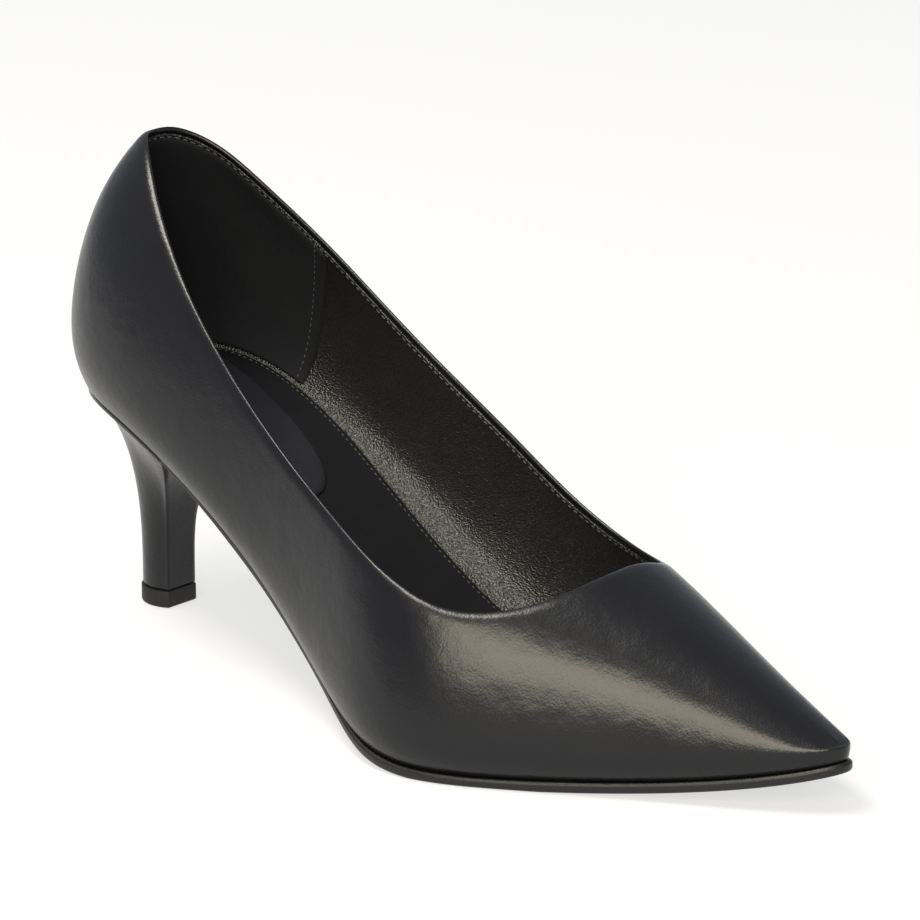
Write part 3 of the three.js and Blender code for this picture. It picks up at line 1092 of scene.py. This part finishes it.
rubber = material("hard_rubber", {"Specular IOR Level": 0.32}, rubber_finish)
top_piece_rings = [
    top_piece_ring(-TOP_PIECE_BEVEL, 0.0),
    top_piece_ring(-ROUNDING_SHARE * TOP_PIECE_BEVEL, ROUNDING_SHARE * TOP_PIECE_BEVEL),
    top_piece_ring(0.0, TOP_PIECE_BEVEL),
    top_piece_ring(0.0, TOP_PIECE_MIDDLE),
    top_piece_ring(0.0, TOP_PIECE_HEIGHT - TOP_PIECE_ROUNDING),
    top_piece_ring(
        -ROUNDING_SHARE * TOP_PIECE_ROUNDING,
        TOP_PIECE_HEIGHT - ROUNDING_SHARE * TOP_PIECE_ROUNDING,
    ),
    top_piece_ring(-TOP_PIECE_ROUNDING, TOP_PIECE_HEIGHT),
]
add_piece("rubber_lift", *ring_solid(top_piece_rings), rubber, "top_piece", "top_piece")


# Sock
# A thin matte sock of black leather, glued over the insole board and narrower than it at the ball, with
# its edge turned and a row of fine stitches just inside.
SOCK_BLUE_BLACK = (0.0045, 0.0045, 0.0062)
SOCK_WORN = (0.0075, 0.0075, 0.0098)
SOCK_INSET_HEEL = 0.4  # from the board's edge
SOCK_INSET_BALL = 3.4
SOCK_TOE = 0.9
SOCK_LINES = 130
SOCK_ACROSS = 26
SOCK_STITCHES = (1.9, 1.1, 0.1)
SOCK_STITCH_INSET = 1.5
SOCK_SEWN_FROM = 0.05  # shares of the last
SOCK_SEWN_TO = 0.8
SOCK_PATH_POINTS = 240


def sock_finish(place):
    grain = place.cells(0.5)
    cloud = place.noise(14.0, 3.0)
    return {
        "Base Color": place.tint(SOCK_BLUE_BLACK, SOCK_WORN, cloud),
        "Roughness": 0.55 + cloud * 0.1,
        "Normal": place.bump(grain * 0.05, 0.6),
    }


def sock_inset(share):
    return board_inset - mix(SOCK_INSET_HEEL, SOCK_INSET_BALL, curl_share(share))


sock_material = material("matte_sock", {"Specular IOR Level": 0.14}, sock_finish)
sock_shares = eased_shares(0.0, SOCK_TOE, SOCK_LINES)
sock_edge = sock_inset(sock_shares)
sock_base = feather_height(sock_shares) + BOARD_THICK + CLEARANCE
sock_top = feather_height(sock_shares) + INSOLE_THICK
sock_profile = [
    (sock_edge - 3.0, sock_top),
    (sock_edge - 0.9, sock_top),
    (sock_edge - 0.45, sock_top - 0.05),
    (sock_edge - 0.12, sock_top - 0.2),
    (sock_edge, sock_top - 0.42),
    (sock_edge, sock_base),
    (sock_edge - 2.0, sock_base),
]
add_piece("sock", *slab(sock_shares, sock_profile, SOCK_ACROSS), sock_material, "sock")

for side, name in ((LATERAL, "lateral_sock_stitches"), (MEDIAL, "medial_sock_stitches")):
    sewn_shares = np.linspace(SOCK_SEWN_FROM, SOCK_SEWN_TO, SOCK_PATH_POINTS)
    sewn = feather_point(side, sewn_shares)
    sewn += outward(side, sewn_shares) * (sock_inset(sewn_shares) - SOCK_STITCH_INSET)[:, None]
    sewn[:, 2] = feather_height(sewn_shares) + INSOLE_THICK
    sew(name, sewn, *SOCK_STITCHES)


# Heel pad
# A thin foam pad under a cover of the sock's leather, glued on the sock: broad under the heel, tapering
# forward to a round nose.
PAD_BACK = 0.115
PAD_NOSE = 0.35
PAD_BACK_HALF = 17.0
PAD_NOSE_HALF = 10.4
PAD_ROUNDNESS = 6.0
PAD_LIFT = INSOLE_THICK + 0.05
PAD_STEPS = 70
PAD_BLUE_BLACK = (0.008, 0.008, 0.012)
PAD_WORN = (0.013, 0.013, 0.019)
# Each pair is an inset from the pad's edge and a height over its underside.
PAD_EDGE = [(0.0, 0.0), (0.0, 0.45), (0.12, 0.75), (0.4, 1.0), (0.9, 1.15), (1.6, 1.24), (3.0, 1.34)]


def pad_finish(place):
    return {
        "Base Color": place.tint(PAD_BLUE_BLACK, PAD_WORN, place.noise(10.0)),
        "Normal": place.bump(place.cells(0.5) * 0.04, 0.6),
    }


def pad_ring(inset, lift):
    along = (1 - np.cos(np.pi * np.linspace(0, 1, PAD_STEPS + 1))) / 2
    share = mix(PAD_BACK + inset / LENGTH, PAD_NOSE - inset / LENGTH, along)
    round_ends = np.sqrt(np.maximum(0, 1 - np.abs(2 * along - 1) ** PAD_ROUNDNESS))
    half = (mix(PAD_BACK_HALF, PAD_NOSE_HALF, along) - inset) * round_ends
    height = feather_height(share) + PAD_LIFT + lift
    sides = [
        np.stack([LENGTH * station("at", share), station("swing", share) + side * half, height], axis=-1)
        for side in SIDES
    ]
    return np.concatenate([sides[0], sides[1][-2:0:-1]])


def pad_solid():
    """The pad's skin: rings in from the edge, and strips across the middle of each face."""
    rings = [pad_ring(inset, lift) for inset, lift in PAD_EDGE]
    count = len(rings[0])
    points = np.concatenate(rings)
    faces = grid_faces(len(rings), count, closed=True)
    top = (len(rings) - 1) * count
    half = count // 2
    for i in range(half):
        left, right = i, (count - i) % count
        quad = [left, left + 1, (count - i - 1) % count, right]
        kept = list(dict.fromkeys(quad))
        if len(kept) > 2:
            faces.append(tuple(top + k for k in kept))
            faces.append(tuple(kept[::-1]))
    return points, faces


pad_material = material("pad_cover", {"Specular IOR Level": 0.45, "Roughness": 0.42}, pad_finish)
add_piece("pad_cover", *pad_solid(), pad_material, "sock", "heel_pad")
